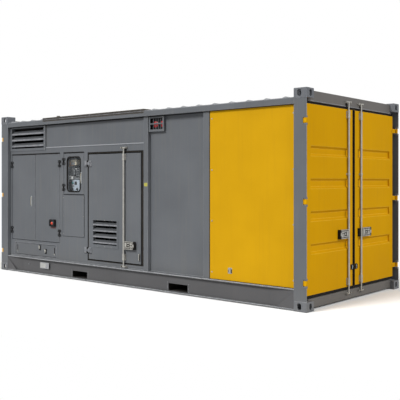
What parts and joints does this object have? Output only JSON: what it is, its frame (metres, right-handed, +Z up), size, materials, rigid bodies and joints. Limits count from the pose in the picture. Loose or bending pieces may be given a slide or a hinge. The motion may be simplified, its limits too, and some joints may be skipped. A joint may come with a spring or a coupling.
{
  "type": "containerised diesel generator set",
  "caption": "Diesel generator set in a standard freight container frame, with side service doors, a window over the controls and swing doors at both ends.",
  "frame": {"origin": "centre of the footprint, on the ground under the corner castings", "axes": "+X along the length, away from the intake louvre; -Y is the side with the service doors; +Z up"},
  "size_m": [6.058, 2.438, 2.591],
  "materials": {
    "grey_steel": "satin grey paint",
    "yellow_steel": "satin yellow paint",
    "galvanised_steel": "galvanised",
    "dark_steel": "dark weathered grey paint",
    "seal_rubber": "matt",
    "black_steel": "black powder coat",
    "floor_steel": "primed",
    "cabinet_steel": "light grey powder coat",
    "switchgear": "moulded",
    "window_glass": "clear",
    "lamp_red": "translucent red"
  },
  "bodies": {
    "frame": {"corner_castings": "grey_steel", "corner_posts": "grey_steel", "bottom_rail_flanges": "grey_steel", "bottom_rail_webs": "grey_steel", "rail_gussets": "grey_steel", "top_side_rails": "grey_steel", "door_sills": "grey_steel", "door_headers": "grey_steel", "cross_members": "grey_steel", "fork_pocket_plates": "grey_steel", "fork_pocket_webs": "grey_steel", "floor_plate": "floor_steel", "wall_posts": "grey_steel", "wall_jambs": "grey_steel", "wall_infills": "grey_steel", "upper_panels": "grey_steel", "intake_louvres": "grey_steel", "grey_panels": "grey_steel", "yellow_panels": "yellow_steel", "access_panels": "grey_steel", "roof_panels": "grey_steel", "roof_hatch": "dark_steel", "end_hinge_lugs": "grey_steel", "end_keepers": "galvanised_steel", "black_hinge_mounts": "black_steel", "service_door_fittings": "galvanised_steel", "service_door_seal": "seal_rubber", "control_cabinet": "cabinet_steel", "control_gear": "switchgear", "lamp_guard": "grey_steel", "alarm_lamps": "lamp_red", "cable_cover": "grey_steel"},
    "service_door": {"service_door": "grey_steel", "service_door_gear": "galvanised_steel"},
    "service_door_bar": {"service_door_bar": "galvanised_steel"},
    "cable_door_left": {"cable_door_left": "grey_steel", "cable_left_fittings": "black_steel"},
    "cable_door_right": {"cable_door_right": "grey_steel", "cable_right_fittings": "black_steel"},
    "window_door": {"window_door": "grey_steel", "window_glass": "window_glass", "window_fittings": "black_steel"},
    "right_front_leaf": {"right_front_leaf": "yellow_steel", "right_front_seal": "seal_rubber", "right_front_gear": "galvanised_steel"},
    "right_front_bar": {"right_front_bar": "galvanised_steel"},
    "right_back_leaf": {"right_back_leaf": "yellow_steel", "right_back_seal": "seal_rubber", "right_back_gear": "galvanised_steel"},
    "right_back_bar": {"right_back_bar": "galvanised_steel"},
    "left_front_leaf": {"left_front_leaf": "yellow_steel", "left_front_seal": "seal_rubber", "left_front_gear": "galvanised_steel"},
    "left_front_bar": {"left_front_bar": "galvanised_steel"},
    "left_back_leaf": {"left_back_leaf": "yellow_steel", "left_back_seal": "seal_rubber", "left_back_gear": "galvanised_steel"},
    "left_back_bar": {"left_back_bar": "galvanised_steel"}
  },
  "joints": [
    {"name": "right_front_leaf_swing", "type": "hinge", "parent": "frame", "child": "right_front_leaf", "pos_m": [3.004, -1.199, 1.295], "axis": [0, 0, 1], "range_deg": [-265, 0]},
    {"name": "right_front_bar_turn", "type": "hinge", "parent": "right_front_leaf", "child": "right_front_bar", "pos_m": [2.994, -0.166, 1.3], "axis": [0, 0, 1], "range_deg": [0, 90]},
    {"name": "right_back_leaf_swing", "type": "hinge", "parent": "frame", "child": "right_back_leaf", "pos_m": [3.004, 1.199, 1.295], "axis": [0, 0, -1], "range_deg": [-265, 0]},
    {"name": "right_back_bar_turn", "type": "hinge", "parent": "right_back_leaf", "child": "right_back_bar", "pos_m": [2.994, 0.166, 1.3], "axis": [0, 0, -1], "range_deg": [0, 90]},
    {"name": "left_front_leaf_swing", "type": "hinge", "parent": "frame", "child": "left_front_leaf", "pos_m": [-3.004, -1.199, 1.295], "axis": [0, 0, -1], "range_deg": [-265, 0]},
    {"name": "left_front_bar_turn", "type": "hinge", "parent": "left_front_leaf", "child": "left_front_bar", "pos_m": [-2.994, -0.166, 1.3], "axis": [0, 0, -1], "range_deg": [0, 90]},
    {"name": "left_back_leaf_swing", "type": "hinge", "parent": "frame", "child": "left_back_leaf", "pos_m": [-3.004, 1.199, 1.295], "axis": [0, 0, 1], "range_deg": [-265, 0]},
    {"name": "left_back_bar_turn", "type": "hinge", "parent": "left_back_leaf", "child": "left_back_bar", "pos_m": [-2.994, 0.166, 1.3], "axis": [0, 0, 1], "range_deg": [0, 90]},
    {"name": "service_door_swing", "type": "hinge", "parent": "frame", "child": "service_door", "pos_m": [-0.845, -1.173, 1.12], "axis": [0, 0, -1], "range_deg": [0, 115]},
    {"name": "service_door_bar_turn", "type": "hinge", "parent": "service_door", "child": "service_door_bar", "pos_m": [-0.045, -1.184, 1.134], "axis": [0, 0, 1], "range_deg": [-90, 0]},
    {"name": "cable_door_left_swing", "type": "hinge", "parent": "frame", "child": "cable_door_left", "pos_m": [-2.796, -1.169, 1.235], "axis": [0, 0, -1], "range_deg": [0, 110]},
    {"name": "cable_door_right_swing", "type": "hinge", "parent": "frame", "child": "cable_door_right", "pos_m": [-1.529, -1.169, 1.235], "axis": [0, 0, 1], "range_deg": [0, 110]},
    {"name": "window_door_swing", "type": "hinge", "parent": "frame", "child": "window_door", "pos_m": [-1.425, -1.169, 1.612], "axis": [0, 0, 1], "range_deg": [-110, 0]}
  ]
}
